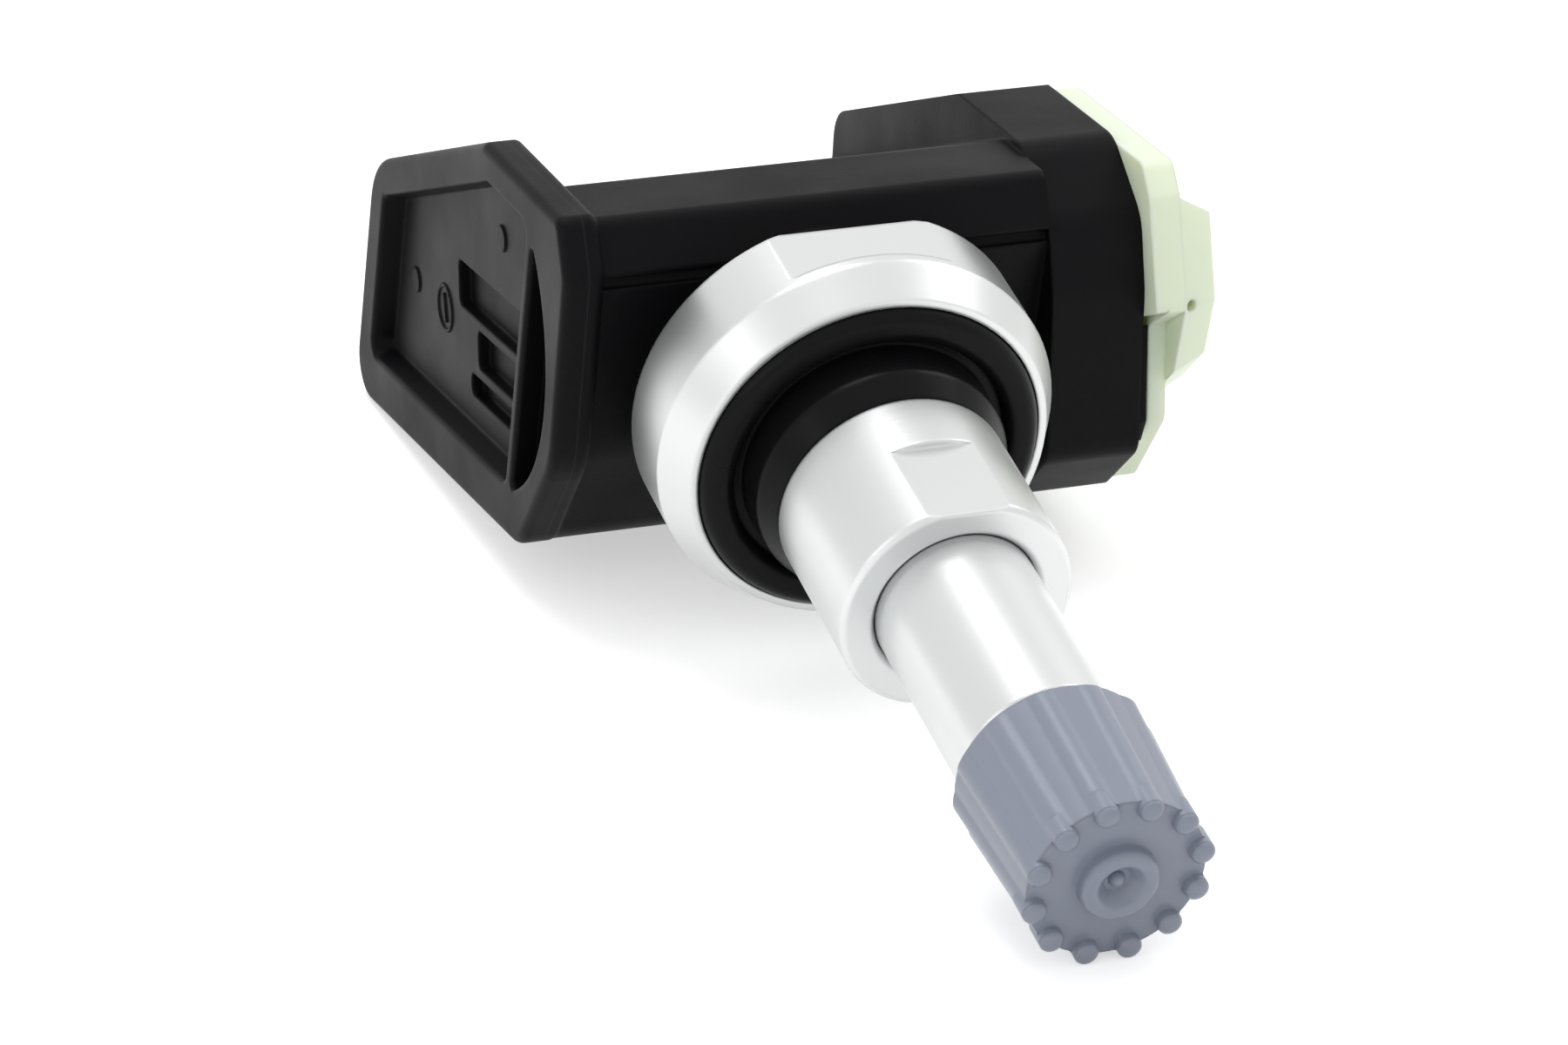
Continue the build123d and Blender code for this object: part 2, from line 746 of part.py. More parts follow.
# Fixing screw: steel, six-lobed socket, drilled through so that air reaches the tyre.
screw_under = collar_front - screw_seat
with BuildPart() as fixing_screw:
    with BuildSketch(half):
        with BuildLine():
            Polyline(
                (air_bore_d / 2, screw_under + screw_long),
                (screw_d / 2 - screw_edge, screw_under + screw_long),
                (screw_d / 2, screw_under + screw_long - screw_edge),
                (screw_d / 2, screw_under),
                (screw_head_d / 2, screw_under),
                (screw_head_d / 2, screw_under - screw_head_deep + screw_edge),
                (screw_head_d / 2 - screw_edge, screw_under - screw_head_deep),
                (air_bore_d / 2, screw_under - screw_head_deep),
                close=True,
            )
        make_face()
    revolve(axis=stem_axis)
    with BuildSketch(seat.offset(screw_under - screw_head_deep)):
        Circle(socket_d / 2)
        with PolarLocations(socket_d / 2, 6):
            Circle(socket_lobe_d / 2)
    extrude(amount=socket_deep, mode=Mode.SUBTRACT)
fixing_screw.part.label = "fixing_screw"

# Valve core: brass barrel with key slots, its ring seal, and the sprung pin with its rubber cup.
pin_bore = pin_d / 2 + slip + snug
with BuildPart() as core_barrel:
    with BuildSketch(half):
        with BuildLine():
            Polyline(
                (pin_bore, core_foot),
                (core_tube_d / 2 - core_wall / 2, core_foot),
                (core_tube_d / 2 - core_wall / 2, core_foot + core_floor / 2),
                (core_tube_d / 2, core_foot + core_floor),
                (core_tube_d / 2, core_neck - air),
                (core_thread_d / 2, core_neck),
                (core_thread_d / 2, core_top - stem_edge),
                (core_thread_d / 2 - stem_edge, core_top),
                (core_bore_d / 2, core_top),
                (core_bore_d / 2, core_foot + core_floor),
                (pin_bore, core_foot + core_floor),
                close=True,
            )
        make_face()
    revolve(axis=stem_axis)
    with BuildSketch(seat.offset(core_top)):
        Rectangle(2 * core_thread_d, core_slot[0])
    extrude(amount=-core_slot[1], mode=Mode.SUBTRACT)
core_barrel.part.label = "core_barrel"

with BuildPart() as core_ring:
    with BuildSketch(half):
        with BuildLine():
            Polyline(
                (core_tube_d / 2 + snug, ring_foot),
                (core_tube_d / 2 + slip, ring_foot),
                (core_thread_d / 2 - snug, ring_foot + ring_cone),
                (core_thread_d / 2 - snug, ring_top),
                (core_tube_d / 2 + snug, ring_top),
                close=True,
            )
        make_face()
    revolve(axis=stem_axis)
core_ring.part.label = "core_ring"

with BuildPart() as core_pin:
    with BuildSketch(half):
        with BuildLine():
            Polyline(
                (0.0, pin_foot),
                (cup_d / 2 - stem_edge, pin_foot),
                (cup_d / 2 - stem_edge, pin_foot + pin_plate),
                (pin_d / 2, pin_foot + pin_plate),
                (pin_d / 2, pin_stop),
                (pin_stop_d / 2, pin_stop),
                (pin_stop_d / 2, pin_stop + pin_stop_thick),
                (pin_d / 2, pin_stop + pin_stop_thick),
                (pin_d / 2, pin_tip - pin_plate),
                (pin_head_d / 2, pin_tip - pin_plate),
                (pin_head_d / 2, pin_tip - stem_edge),
                (pin_head_d / 2 - stem_edge, pin_tip),
                (0.0, pin_tip),
                close=True,
            )
        make_face()
    revolve(axis=stem_axis)
core_pin.part.label = "core_pin"

with BuildPart() as core_cup:
    with BuildSketch(half):
        with BuildLine():
            Polyline(
                (pin_d / 2 + snug, pin_foot + pin_plate + snug),
                (cup_d / 2, pin_foot + pin_plate + snug),
                (cup_d / 2, core_foot - cup_long / 3),
                (cup_d / 2 - stem_edge, core_foot - snug),
                (pin_d / 2 + snug, core_foot - snug),
                close=True,
            )
        make_face()
    revolve(axis=stem_axis)
core_cup.part.label = "core_cup"

spring_from = core_foot + core_floor + 0.2
spring_to = pin_stop - 0.2
with BuildPart() as core_spring:
    with BuildLine():
        coil_path = Helix(
            pitch=(spring_to - spring_from) / spring_turns,
            height=spring_to - spring_from,
            radius=spring_mean_d / 2,
            center=stem_dir * spring_from,
            direction=stem_dir,
        )
    with BuildSketch(Plane(origin=coil_path @ 0, z_dir=coil_path % 0)):
        Circle(spring_wire / 2)
    sweep(path=coil_path, is_frenet=True)
core_spring.part.label = "core_spring"

# Cap: ribbed plastic cap that flares to its bevelled open end. The ribs end in studs round a dimpled boss,
# and the sealing washer sits in the roof.
with BuildPart() as cap:
    with BuildSketch(seat.offset(cap_back)):
        Circle(cap_d / 2 + cap_flare)
        with PolarLocations(rib_ring + cap_flare, cap_ribs, start_angle=180 / cap_ribs):
            Circle(rib_d / 2)
    with BuildSketch(seat.offset(cap_face)):
        Circle(cap_d / 2)
        with PolarLocations(rib_ring, cap_ribs, start_angle=180 / cap_ribs):
            Circle(rib_d / 2)
    loft(ruled=True)
    with BuildSketch(seat.offset(cap_face + stud_proud)):
        with PolarLocations(stud_ring, cap_ribs, start_angle=180 / cap_ribs):
            Circle(stud_d / 2)
    extrude(amount=-stud_long)
    with BuildSketch(half):
        with BuildLine():
            FilletPolyline(
                (0.0, cap_face - cap_top_wall / 2),
                (cap_boss_d / 2, cap_face - cap_top_wall / 2),
                (cap_boss_d / 2, cap_face + cap_boss_high),
                (cap_dimple_d / 2, cap_face + cap_boss_high),
                (cap_dimple_d / 4, cap_face),
                (0.0, cap_face),
                radius=[0.0, 0.0, 0.45 * cap_boss_high, 0.4 * cap_boss_high, 0.0, 0.0],
                close=True,
            )
        make_face()
    revolve(axis=stem_axis)
    cap_widest = cap_d / 2 + cap_flare + rib_proud
    with BuildSketch(half):
        with BuildLine():
            Polyline(
                (cap_widest - cap_bevel, cap_back),
                (cap_widest + cap_bevel, cap_back),
                (cap_widest + cap_bevel, cap_back + 2 * cap_bevel),
                close=True,
            )
        make_face()
    revolve(axis=stem_axis, mode=Mode.SUBTRACT)
    with BuildSketch(seat.offset(cap_back)):
        Circle(cap_bore_d / 2)
    extrude(amount=cap_roof - cap_back, mode=Mode.SUBTRACT)
cap.part.label = "cap"

with BuildPart() as cap_seal:
    with BuildSketch(seat.offset(stem_end + slip)):
        Circle(cap_bore_d / 2 - slip)
        Circle(washer_hole_d / 2, mode=Mode.SUBTRACT)
    extrude(amount=washer_thick)
cap_seal.part.label = "cap_seal"

os.makedirs("parts", exist_ok=True)
export_step(housing.part, "parts/housing.step")
export_step(lid.part, "parts/lid.step")
export_step(board.part, "parts/board.step")
export_step(cell.part, "parts/cell.step")
export_step(tab_plus.part, "parts/tab_plus.step")
export_step(tab_minus.part, "parts/tab_minus.step")
export_step(sensor_chip.part, "parts/sensor_chip.step")
export_step(crystal.part, "parts/crystal.step")
export_step(coil_core.part, "parts/coil_core.step")
export_step(coil_winding.part, "parts/coil_winding.step")
export_step(capacitors.part, "parts/capacitors.step")
export_step(aerial.part, "parts/aerial.step")
export_step(collar.part, "parts/collar.step")
export_step(grommet.part, "parts/grommet.step")
export_step(stem.part, "parts/stem.step")
export_step(sleeve_nut.part, "parts/sleeve_nut.step")
export_step(fixing_screw.part, "parts/fixing_screw.step")
export_step(core_barrel.part, "parts/core_barrel.step")
export_step(core_ring.part, "parts/core_ring.step")
export_step(core_pin.part, "parts/core_pin.step")
export_step(core_cup.part, "parts/core_cup.step")
export_step(core_spring.part, "parts/core_spring.step")
export_step(cap.part, "parts/cap.step")
export_step(cap_seal.part, "parts/cap_seal.step")
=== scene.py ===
import json
import math
import bmesh
import bpy
from mathutils import Matrix, Vector


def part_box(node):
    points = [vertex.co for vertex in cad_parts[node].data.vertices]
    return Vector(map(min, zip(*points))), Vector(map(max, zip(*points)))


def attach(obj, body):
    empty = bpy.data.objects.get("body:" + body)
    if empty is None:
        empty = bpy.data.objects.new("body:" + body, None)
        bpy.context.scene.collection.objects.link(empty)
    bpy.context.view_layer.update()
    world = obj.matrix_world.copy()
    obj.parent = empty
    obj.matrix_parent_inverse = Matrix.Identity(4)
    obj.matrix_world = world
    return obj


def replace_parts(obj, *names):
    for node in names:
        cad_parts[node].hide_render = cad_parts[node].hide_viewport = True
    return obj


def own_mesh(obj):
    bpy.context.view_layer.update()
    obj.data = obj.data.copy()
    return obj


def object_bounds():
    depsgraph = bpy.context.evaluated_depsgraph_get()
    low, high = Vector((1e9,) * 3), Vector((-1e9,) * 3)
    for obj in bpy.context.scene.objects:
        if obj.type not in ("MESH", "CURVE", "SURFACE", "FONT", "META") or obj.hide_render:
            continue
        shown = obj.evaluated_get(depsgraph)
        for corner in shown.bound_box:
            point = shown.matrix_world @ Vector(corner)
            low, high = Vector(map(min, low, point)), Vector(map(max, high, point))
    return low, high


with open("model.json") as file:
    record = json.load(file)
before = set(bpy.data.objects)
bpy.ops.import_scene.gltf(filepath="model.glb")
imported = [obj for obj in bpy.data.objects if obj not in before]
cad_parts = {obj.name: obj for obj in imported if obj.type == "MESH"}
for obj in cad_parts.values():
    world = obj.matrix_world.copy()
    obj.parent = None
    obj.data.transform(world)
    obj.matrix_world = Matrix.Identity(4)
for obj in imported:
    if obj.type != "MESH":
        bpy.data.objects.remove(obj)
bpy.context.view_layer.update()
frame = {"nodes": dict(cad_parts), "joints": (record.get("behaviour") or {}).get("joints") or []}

# Housing: the sensor's body, a black moulding of glass-filled nylon with a satin skin.
# The tool leaves a fine grain on it, and the floor of the dished left end is a paler black.
mm = 0.001
edge_soft = 0.28 * mm
dish_deep = 1.3 * mm
dish_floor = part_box("housing")[0][0] + dish_deep
floor_tolerance = 0.05 * mm


def new_material(name):
    material = bpy.data.materials.new(name)
    material.use_nodes = True
    nodes = material.node_tree.nodes
    return material, nodes, material.node_tree.links, nodes["Principled BSDF"]


def paint(material, *names):
    for name in names:
        frame["nodes"][name].material_slots[0].material = material


def grain_group():
    """Fine pits of a moulded or dipped skin, and a slow drift in its gloss."""
    group = bpy.data.node_groups.new("moulding grain", "ShaderNodeTree")
    group.interface.new_socket("Pits per Metre", in_out="INPUT", socket_type="NodeSocketFloat")
    group.interface.new_socket("Height", in_out="OUTPUT", socket_type="NodeSocketFloat")
    group.interface.new_socket("Drift", in_out="OUTPUT", socket_type="NodeSocketFloat")
    nodes, links = group.nodes, group.links
    entry = nodes.new("NodeGroupInput")
    leave = nodes.new("NodeGroupOutput")
    place = nodes.new("ShaderNodeTexCoord")
    pits = nodes.new("ShaderNodeTexNoise")
    pits.inputs["Detail"].default_value = 2
    drift = nodes.new("ShaderNodeTexNoise")
    drift.inputs["Scale"].default_value = 140
    drift.inputs["Detail"].default_value = 3
    links.new(place.outputs["Object"], pits.inputs["Vector"])
    links.new(entry.outputs["Pits per Metre"], pits.inputs["Scale"])
    links.new(place.outputs["Object"], drift.inputs["Vector"])
    links.new(pits.outputs["Fac"], leave.inputs["Height"])
    links.new(drift.outputs["Fac"], leave.inputs["Drift"])
    return group


grain = grain_group()


def soft_edges(nodes):
    """The surface's normal with every edge rounded a little."""
    edges = nodes.new("ShaderNodeBevel")
    edges.samples = 6
    edges.inputs["Radius"].default_value = edge_soft
    return edges.outputs["Normal"]


def add_grain(nodes, links, shader, pits_per_metre, depth, strength, gloss):
    """Grain on a soft-edged surface, with roughness drifting between the two values of gloss."""
    skin = nodes.new("ShaderNodeGroup")
    skin.node_tree = grain
    skin.inputs["Pits per Metre"].default_value = pits_per_metre
    bump = nodes.new("ShaderNodeBump")
    bump.inputs["Strength"].default_value = strength
    bump.inputs["Distance"].default_value = depth
    rough = nodes.new("ShaderNodeMapRange")
    rough.inputs["From Min"].default_value = 0.3
    rough.inputs["From Max"].default_value = 0.7
    rough.inputs["To Min"].default_value = gloss[0]
    rough.inputs["To Max"].default_value = gloss[1]
    links.new(soft_edges(nodes), bump.inputs["Normal"])
    links.new(skin.outputs["Height"], bump.inputs["Height"])
    links.new(bump.outputs["Normal"], shader.inputs["Normal"])
    links.new(skin.outputs["Drift"], rough.inputs["Value"])
    links.new(rough.outputs["Result"], shader.inputs["Roughness"])


black_nylon, nodes, links, shader = new_material("black_nylon")
shader.inputs["Specular IOR Level"].default_value = 0.08
add_grain(nodes, links, shader, pits_per_metre=5200, depth=0.03 * mm, strength=0.25, gloss=(0.4, 0.52))
place = nodes.new("ShaderNodeTexCoord")
split = nodes.new("ShaderNodeSeparateXYZ")
on_floor = nodes.new("ShaderNodeMath")
on_floor.operation = "COMPARE"
on_floor.inputs[1].default_value = dish_floor
on_floor.inputs[2].default_value = floor_tolerance
tone = nodes.new("ShaderNodeMix")
tone.data_type = "RGBA"
tone.inputs["A"].default_value = (0.0045, 0.0041, 0.0051, 1)
tone.inputs["B"].default_value = (0.012, 0.0115, 0.0122, 1)
links.new(place.outputs["Object"], split.inputs["Vector"])
links.new(split.outputs["X"], on_floor.inputs[0])
links.new(on_floor.outputs["Value"], tone.inputs["Factor"])
links.new(tone.outputs["Result"], shader.inputs["Base Color"])
paint(black_nylon, "housing")

# Mould marks on the dish floor: a small raised ring with a pointer, left by the tool's date dial,
# and three discs where ejector pins pushed the moulding out.
dial_middle = Vector((dish_floor, 32.1 * mm, -2.4 * mm))
dial_radius = 1.25 * mm
dial_bead = 0.12 * mm
pointer_turn = 0.3
pointer_long = 1.3 * dial_radius
ejector_places = [(22.0, 5.3), (37.5, -2.8), (40.8, 1.6)]
ejector_radius = 0.75 * mm
ejector_top_radius = 0.72 * mm
ejector_proud = 0.12 * mm
merge_within = 0.001 * mm
facing_out = Matrix.Rotation(math.radians(-90), 4, "Y")


def finish_piece(shape, name, material, body, crisp=30):
    """Turns a bmesh into a piece riding on a body, smooth but for corners sharper than crisp degrees."""
    bmesh.ops.remove_doubles(shape, verts=shape.verts, dist=merge_within)
    bmesh.ops.recalc_face_normals(shape, faces=shape.faces)
    for face in shape.faces:
        face.smooth = True
    data = bpy.data.meshes.new(name)
    shape.to_mesh(data)
    shape.free()
    data.set_sharp_from_angle(angle=math.radians(crisp))
    data.materials.append(material)
    piece = bpy.data.objects.new(name, data)
    bpy.context.scene.collection.objects.link(piece)
    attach(piece, body)
    return piece


marks = bmesh.new()
ring = bmesh.ops.create_circle(marks, radius=dial_bead, segments=10)["verts"]
bmesh.ops.rotate(marks, verts=ring, cent=(0, 0, 0), matrix=Matrix.Rotation(math.radians(90), 3, "X"))
bmesh.ops.translate(marks, verts=ring, vec=(dial_radius, 0, 0))
bmesh.ops.spin(marks, geom=ring + list(marks.edges), cent=(0, 0, 0), axis=(0, 0, 1), steps=48,
               angle=math.tau, use_merge=True)
pointer_size = Matrix.Diagonal((pointer_long, 2 * dial_bead, 2 * dial_bead, 1))
bmesh.ops.create_cube(marks, size=1, matrix=Matrix.Rotation(pointer_turn, 4, "Z") @ pointer_size)
bmesh.ops.transform(marks, verts=marks.verts, matrix=Matrix.Translation(dial_middle) @ facing_out)
for across, up in ejector_places:
    disc = Matrix.Translation((dish_floor, across * mm, up * mm)) @ facing_out
    bmesh.ops.create_cone(marks, cap_ends=True, segments=40, radius1=ejector_radius,
                          radius2=ejector_top_radius, depth=2 * ejector_proud, matrix=disc)
finish_piece(marks, "mould_marks", black_nylon, "sensor", crisp=50)

# Board and the pieces on it, sealed inside: a green glass-fibre board, nickel on the tabs, the coin cell and
# the crystal's can, a black sensor package, a ferrite coil wound in copper, tan ceramic capacitors and a
# bronze wire aerial.


def plain_material(name, colour, roughness, metal=0.0):
    material, nodes, links, shader = new_material(name)
    shader.inputs["Base Color"].default_value = (*colour, 1)
    shader.inputs["Roughness"].default_value = roughness
    shader.inputs["Metallic"].default_value = metal
    return material


nickel = plain_material("nickel", (0.62, 0.6, 0.56), roughness=0.3, metal=1.0)
paint(plain_material("green_board", (0.02, 0.12, 0.05), roughness=0.35), "board")
paint(nickel, "cell", "tab_plus", "tab_minus", "crystal")
paint(plain_material("sensor_resin", (0.015, 0.015, 0.016), roughness=0.5), "sensor_chip")
paint(plain_material("ferrite", (0.05, 0.05, 0.055), roughness=0.6), "coil_core")
paint(plain_material("copper_wire", (0.72, 0.33, 0.17), roughness=0.35, metal=1.0), "coil_winding")
paint(plain_material("tan_ceramic", (0.36, 0.24, 0.14), roughness=0.55), "capacitors")
paint(plain_material("bronze_wire", (0.66, 0.44, 0.25), roughness=0.3, metal=1.0), "aerial")

# Lid: a plate of natural, uncoloured nylon welded over the housing's open end.
# Light enters it and comes out pale yellow-green, most of all along its thin edges.
natural_nylon, nodes, links, shader = new_material("natural_nylon")
shader.inputs["Base Color"].default_value = (0.84, 0.95, 0.73, 1)
shader.inputs["Subsurface Weight"].default_value = 0.45
shader.inputs["Subsurface Radius"].default_value = (1.0, 1.0, 0.45)
shader.inputs["Subsurface Scale"].default_value = 1.6 * mm
shader.inputs["Specular IOR Level"].default_value = 0.4
add_grain(nodes, links, shader, pits_per_metre=4200, depth=0.02 * mm, strength=0.15, gloss=(0.36, 0.48))
paint(natural_nylon, "lid")

# Collar and sleeve nut: turned from aluminium, with two spanner flats each, and the collar is dished for the
# grommet. Their faces keep fine turning rings round the stem's axis under a bright satin finish.
joints = {joint["name"]: joint for joint in frame["joints"]}
stem_dir = Vector(joints["cap_lift"]["axis"]).normalized()
ring_deep = 0.01 * mm


def turning_group():
    """Rings left by a lathe round the stem's axis, on cylinders and on faces across the axis."""
    group = bpy.data.node_groups.new("turning rings", "ShaderNodeTree")
    group.interface.new_socket("Rings per Metre", in_out="INPUT", socket_type="NodeSocketFloat")
    group.interface.new_socket("Height", in_out="OUTPUT", socket_type="NodeSocketFloat")
    nodes, links = group.nodes, group.links
    entry = nodes.new("NodeGroupInput")
    leave = nodes.new("NodeGroupOutput")
    place = nodes.new("ShaderNodeTexCoord")
    along = nodes.new("ShaderNodeVectorMath")
    along.operation = "DOT_PRODUCT"
    along.inputs[1].default_value = stem_dir
    foot = nodes.new("ShaderNodeVectorMath")
    foot.operation = "SCALE"
    foot.inputs[0].default_value = stem_dir
    outward = nodes.new("ShaderNodeVectorMath")
    outward.operation = "SUBTRACT"
    radius = nodes.new("ShaderNodeVectorMath")
    radius.operation = "LENGTH"
    path = nodes.new("ShaderNodeMath")
    rings = nodes.new("ShaderNodeTexNoise")
    rings.noise_dimensions = "1D"
    rings.inputs["Detail"].default_value = 3
    links.new(place.outputs["Object"], along.inputs[0])
    links.new(along.outputs["Value"], foot.inputs["Scale"])
    links.new(place.outputs["Object"], outward.inputs[0])
    links.new(foot.outputs["Vector"], outward.inputs[1])
    links.new(outward.outputs["Vector"], radius.inputs[0])
    links.new(along.outputs["Value"], path.inputs[0])
    links.new(radius.outputs["Value"], path.inputs[1])
    links.new(path.outputs["Value"], rings.inputs["W"])
    links.new(entry.outputs["Rings per Metre"], rings.inputs["Scale"])
    links.new(rings.outputs["Fac"], leave.inputs["Height"])
    return group


turning = turning_group()


def turned_metal(name, colour, roughness, rings_per_metre, strength, bare=1.0):
    """Metal with turning rings; bare is how much of it shows through a pale oxide film."""
    material, nodes, links, shader = new_material(name)
    shader.inputs["Base Color"].default_value = (*colour, 1)
    shader.inputs["Metallic"].default_value = bare
    shader.inputs["Roughness"].default_value = roughness
    rings = nodes.new("ShaderNodeGroup")
    rings.node_tree = turning
    rings.inputs["Rings per Metre"].default_value = rings_per_metre
    bump = nodes.new("ShaderNodeBump")
    bump.inputs["Strength"].default_value = strength
    bump.inputs["Distance"].default_value = ring_deep
    links.new(soft_edges(nodes), bump.inputs["Normal"])
    links.new(rings.outputs["Height"], bump.inputs["Height"])
    links.new(bump.outputs["Normal"], shader.inputs["Normal"])
    return material


satin_aluminium = turned_metal("satin_aluminium", (0.71, 0.72, 0.72), roughness=0.32,
                               rings_per_metre=7000, strength=0.25, bare=0.9)
paint(satin_aluminium, "collar", "sleeve_nut")

# Grommet: one moulded ring of black rubber with a sealing bead, pressed into the collar's dish.
# It is clean and new, so it has a soft gloss; the core's cup and the cap's washer are the same rubber.
black_rubber, nodes, links, shader = new_material("black_rubber")
shader.inputs["Base Color"].default_value = (0.0065, 0.0065, 0.0073, 1)
shader.inputs["Specular IOR Level"].default_value = 0.08
add_grain(nodes, links, shader, pits_per_metre=3000, depth=0.02 * mm, strength=0.12, gloss=(0.24, 0.32))
paint(black_rubber, "grommet", "core_cup", "cap_seal")

# Stem: the hollow valve body, turned from aluminium, with a head behind and the cap's thread on its tip.
# The thread is a real helix, standing on a core that is one thread depth smaller than the tip.


def reach(name):
    """How far a node runs along the stem's axis, and its greatest radius about it."""
    places = [vertex.co for vertex in frame["nodes"][name].data.vertices]
    along = [place.dot(stem_dir) for place in places]
    radii = [(place - stem_dir * step).length for place, step in zip(places, along)]
    return min(along), max(along), max(radii)


stem_from, stem_tip, head_radius = reach("stem")
head_deep = 2.0 * mm
stem_radius = 4.15 * mm
tip_long = 7.2 * mm
tip_radius = 3.85 * mm
bore_radius = 2.55 * mm
core_seat = 7.5 * mm
seat_taper = 1.3 * mm
screw_bore_radius = 2.05 * mm
thread_pitch = 0.794 * mm
thread_deep = 0.42 * mm
edge_break = 0.2 * mm
turn_steps = 96
shoulder = stem_tip - tip_long
root_radius = tip_radius - thread_deep
sideways = Vector((1, 0, 0))


def lathe(shape, outline):
    """Spins a closed outline of (radius, distance along) points once round the stem's axis."""
    points = [shape.verts.new(sideways * radius + stem_dir * along) for radius, along in outline]
    edges = [shape.edges.new(pair) for pair in zip(points, points[1:] + points[:1])]
    bmesh.ops.spin(shape, geom=points + edges, cent=(0, 0, 0), axis=stem_dir, steps=turn_steps,
                   angle=math.tau, use_merge=True)


valve_stem = bmesh.new()
lathe(valve_stem, [
    (screw_bore_radius, stem_from),
    (head_radius, stem_from),
    (head_radius, stem_from + head_deep),
    (stem_radius, stem_from + head_deep),
    (stem_radius, shoulder - edge_break),
    (stem_radius - edge_break, shoulder),
    (root_radius, shoulder),
    (root_radius, stem_tip - edge_break),
    (root_radius - edge_break, stem_tip),
    (bore_radius, stem_tip),
    (bore_radius, stem_tip - core_seat),
    (screw_bore_radius, stem_tip - core_seat - seat_taper),
])
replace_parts(finish_piece(valve_stem, "valve_stem", satin_aluminium, "sensor"), "stem")

thread = bmesh.new()
thread_turns = 8
steps_per_turn = 48
thread_lead = 0.45 * mm
thread_start = shoulder + thread_lead
crest_half = 0.06 * mm
flank_half = 0.36 * mm
sunk = 0.02 * mm
ridge = [
    (root_radius - sunk, -flank_half),
    (tip_radius, -crest_half),
    (tip_radius, crest_half),
    (root_radius - sunk, flank_half),
]
ridge_points = [
    thread.verts.new(sideways * radius + stem_dir * (thread_start + along))
    for radius, along in ridge
]
ridge_face = thread.faces.new(ridge_points)
bmesh.ops.spin(thread, geom=[ridge_face] + list(ridge_face.edges) + ridge_points, cent=(0, 0, 0),
               axis=stem_dir, dvec=stem_dir * (thread_pitch / steps_per_turn),
               steps=thread_turns * steps_per_turn, angle=thread_turns * math.tau)
finish_piece(thread, "stem_thread", satin_aluminium, "sensor")

# Fixing screw and valve core: a plated steel screw from behind, and a brass core in the stem's tip
# with a red ring seal and a brass pin.
plated_steel = turned_metal("plated_steel", (0.58, 0.58, 0.59), roughness=0.3,
                            rings_per_metre=6000, strength=0.2)
core_brass = turned_metal("core_brass", (0.78, 0.58, 0.26), roughness=0.28,
                          rings_per_metre=9000, strength=0.2)
paint(plated_steel, "fixing_screw")
paint(core_brass, "core_barrel", "core_pin")
paint(plain_material("red_seal", (0.5, 0.03, 0.025), roughness=0.4), "core_ring")

# Core spring: plated steel wire wound round the pin, between the barrel's floor and the pin's stop.
# The real one gives way as the pin is pressed; this one keeps its wound length, on a mesh of its own.
wire_radius = 0.13 * mm
coil_turns = 6
coil_from, coil_to, coil_reach = reach("core_spring")
coil_radius = coil_reach - wire_radius
coil_rise = coil_to - coil_from - 2 * wire_radius
upright = stem_dir.cross(sideways)
across_wire = upright.to_track_quat("Z", "Y").to_matrix().to_4x4()
wire_start = Matrix.Translation(sideways * coil_radius + stem_dir * (coil_from + wire_radius)) @ across_wire
spring = bmesh.new()
wire_end = bmesh.ops.create_circle(spring, cap_ends=True, segments=12, radius=wire_radius, matrix=wire_start)
bmesh.ops.spin(spring, geom=wire_end["verts"] + list(spring.edges) + list(spring.faces), cent=(0, 0, 0),
               axis=stem_dir, dvec=stem_dir * (coil_rise / (coil_turns * steps_per_turn)),
               steps=coil_turns * steps_per_turn, angle=coil_turns * math.tau)
valve_spring = finish_piece(spring, "valve_spring", plated_steel, "sensor")
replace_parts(valve_spring, "core_spring")
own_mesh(valve_spring)

# Cap: blue-grey moulded plastic that screws over the thread, with twelve ribs for the fingers.
# Each rib ends in a rounded stud round the dimpled boss on the closed end. The mould's gate leaves a pip.
cap_plastic, nodes, links, shader = new_material("cap_plastic")
shader.inputs["Base Color"].default_value = (0.255, 0.28, 0.35, 1)
shader.inputs["Specular IOR Level"].default_value = 0.5
add_grain(nodes, links, shader, pits_per_metre=3500, depth=0.02 * mm, strength=0.15, gloss=(0.26, 0.38))
paint(cap_plastic, "cap")

cap_ribs = 12
cap_tip = reach("cap")[1]
boss_high = 0.8 * mm
stud_radius = 0.6 * mm
stud_ring = 4.15 * mm
stud_setback = 0.45 * mm
stud_end = cap_tip - stud_setback
stud_dome = 0.3 * mm
pip_radius = 0.42 * mm
studs = bmesh.new()
along_stem = stem_dir.to_track_quat("Z", "Y").to_matrix().to_4x4()
flattened = Matrix.Diagonal((1, 1, stud_dome / stud_radius, 1))
for rib in range(cap_ribs):
    swing = (rib + 0.5) * math.tau / cap_ribs
    outward = sideways * math.cos(swing) + upright * math.sin(swing)
    dome = Matrix.Translation(outward * stud_ring + stem_dir * stud_end) @ along_stem @ flattened
    bmesh.ops.create_uvsphere(studs, u_segments=20, v_segments=10, radius=stud_radius, matrix=dome)
pip = Matrix.Translation(stem_dir * (cap_tip - boss_high))
bmesh.ops.create_uvsphere(studs, u_segments=20, v_segments=10, radius=pip_radius, matrix=pip)
finish_piece(studs, "rib_studs", cap_plastic, "cap")

# Table and backdrop: a pale matt sheet under the part, and a white studio behind it.
# The eye, shiny surfaces and clear ones see both as white, and for the rest the studio is a weaker fill.
table_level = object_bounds()[0][2]
table_half = 3.0
studio_fill = 0.7
paper_lift = 0.52


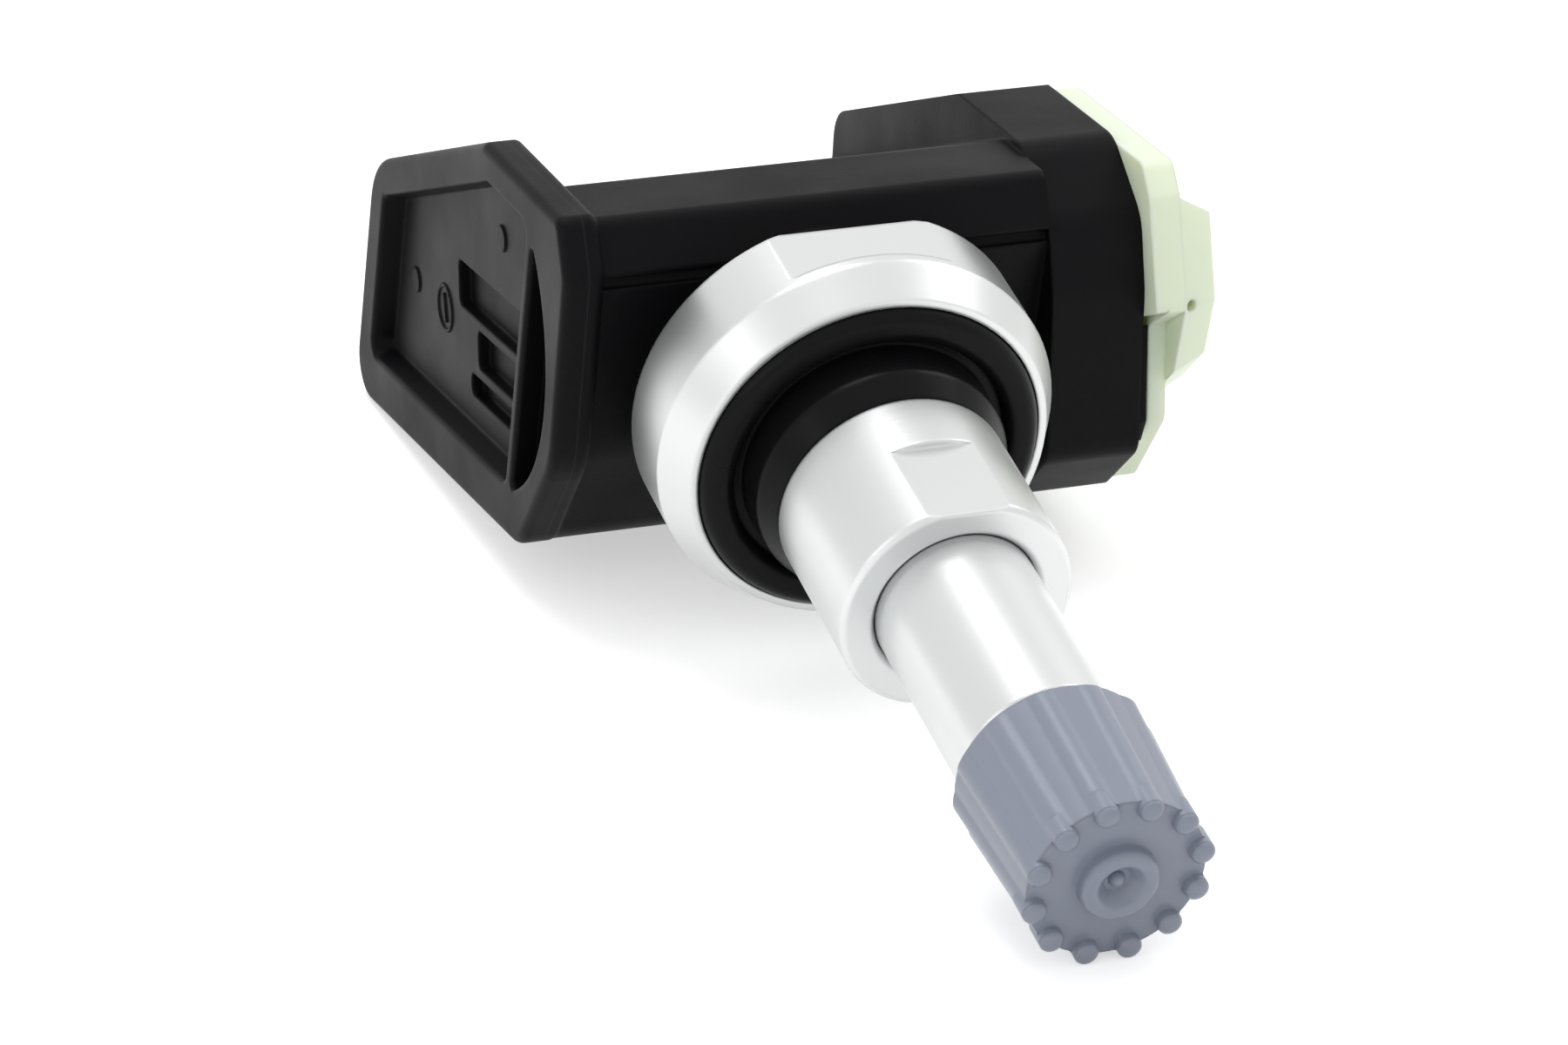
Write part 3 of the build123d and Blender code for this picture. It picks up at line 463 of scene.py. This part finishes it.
def seen_directly(nodes, links):
    """One for rays that the eye, a shiny surface or a clear one sends out, and none for the rest."""
    rays = nodes.new("ShaderNodeLightPath")
    shiny = nodes.new("ShaderNodeMath")
    shiny.operation = "MAXIMUM"
    clear = nodes.new("ShaderNodeMath")
    clear.operation = "MAXIMUM"
    links.new(rays.outputs["Is Camera Ray"], shiny.inputs[0])
    links.new(rays.outputs["Is Glossy Ray"], shiny.inputs[1])
    links.new(shiny.outputs["Value"], clear.inputs[0])
    links.new(rays.outputs["Is Transmission Ray"], clear.inputs[1])
    return clear.outputs["Value"]


sheet = bmesh.new()
bmesh.ops.create_grid(sheet, x_segments=1, y_segments=1, size=table_half)
bmesh.ops.translate(sheet, verts=sheet.verts, vec=(0, 0, table_level))
table_data = bpy.data.meshes.new("table")
sheet.to_mesh(table_data)
sheet.free()
table = bpy.data.objects.new("table", table_data)
bpy.context.scene.collection.objects.link(table)

paper, nodes, links, shader = new_material("studio_paper")
shader.inputs["Base Color"].default_value = (0.86, 0.86, 0.86, 1)
shader.inputs["Roughness"].default_value = 0.9
shader.inputs["Specular IOR Level"].default_value = 0.0
shader.inputs["Emission Color"].default_value = (1, 1, 1, 1)
lifted = nodes.new("ShaderNodeMath")
lifted.operation = "MULTIPLY"
lifted.inputs[1].default_value = paper_lift
links.new(seen_directly(nodes, links), lifted.inputs[0])
links.new(lifted.outputs["Value"], shader.inputs["Emission Strength"])
table_data.materials.append(paper)

world = bpy.data.worlds.new("studio")
bpy.context.scene.world = world
world.use_nodes = True
nodes = world.node_tree.nodes
links = world.node_tree.links
strength = nodes.new("ShaderNodeMapRange")
strength.inputs["To Min"].default_value = studio_fill
strength.inputs["To Max"].default_value = 1.0
links.new(seen_directly(nodes, links), strength.inputs["Value"])
links.new(strength.outputs["Result"], nodes["Background"].inputs["Strength"])
nodes["Background"].inputs["Color"].default_value = (1, 1, 1, 1)

# Lamps: a softbox overhead, a little behind the part, with weaker ones at the right back and the left front.
# All look at the grommet's sealing face, and with the studio they light white paper to about white.


def softbox(name, place, size, power):
    lamp = bpy.data.lights.new(name, "AREA")
    lamp.energy = power
    lamp.size = size
    box = bpy.data.objects.new(name, lamp)
    bpy.context.scene.collection.objects.link(box)
    box.location = place
    box.rotation_euler = (-Vector(place)).to_track_quat("-Z", "Y").to_euler()


softbox("overhead", (-0.06, 0.12, 0.5), size=0.24, power=0.75)
softbox("right_back", (0.4, 0.12, 0.36), size=0.24, power=0.45)
softbox("left_front", (-0.5, -0.25, 0.25), size=0.3, power=0.35)

# Camera: a long lens a foot away, low over the valve's left side and turned a little about its own axis.
# It aims a little left of the grommet's sealing face and below it.
aim = Vector((-4.38, 0.79, -2.88)) * mm
away = 303.11 * mm
turn = math.radians(20.33)
rise = math.radians(23.71)
roll = math.radians(1.31)
lens_mm = 140
looking = Vector((math.sin(turn) * math.cos(rise), math.cos(turn) * math.cos(rise), -math.sin(rise)))
camera_data = bpy.data.cameras.new("camera")
camera_data.lens = lens_mm
camera_data.sensor_width = 36
camera = bpy.data.objects.new("camera", camera_data)
bpy.context.scene.collection.objects.link(camera)
camera.matrix_world = (
    Matrix.Translation(aim - looking * away)
    @ looking.to_track_quat("-Z", "Y").to_matrix().to_4x4()
    @ Matrix.Rotation(roll, 4, "Z")
)
bpy.context.scene.camera = camera
bpy.context.scene.view_settings.view_transform = "Standard"
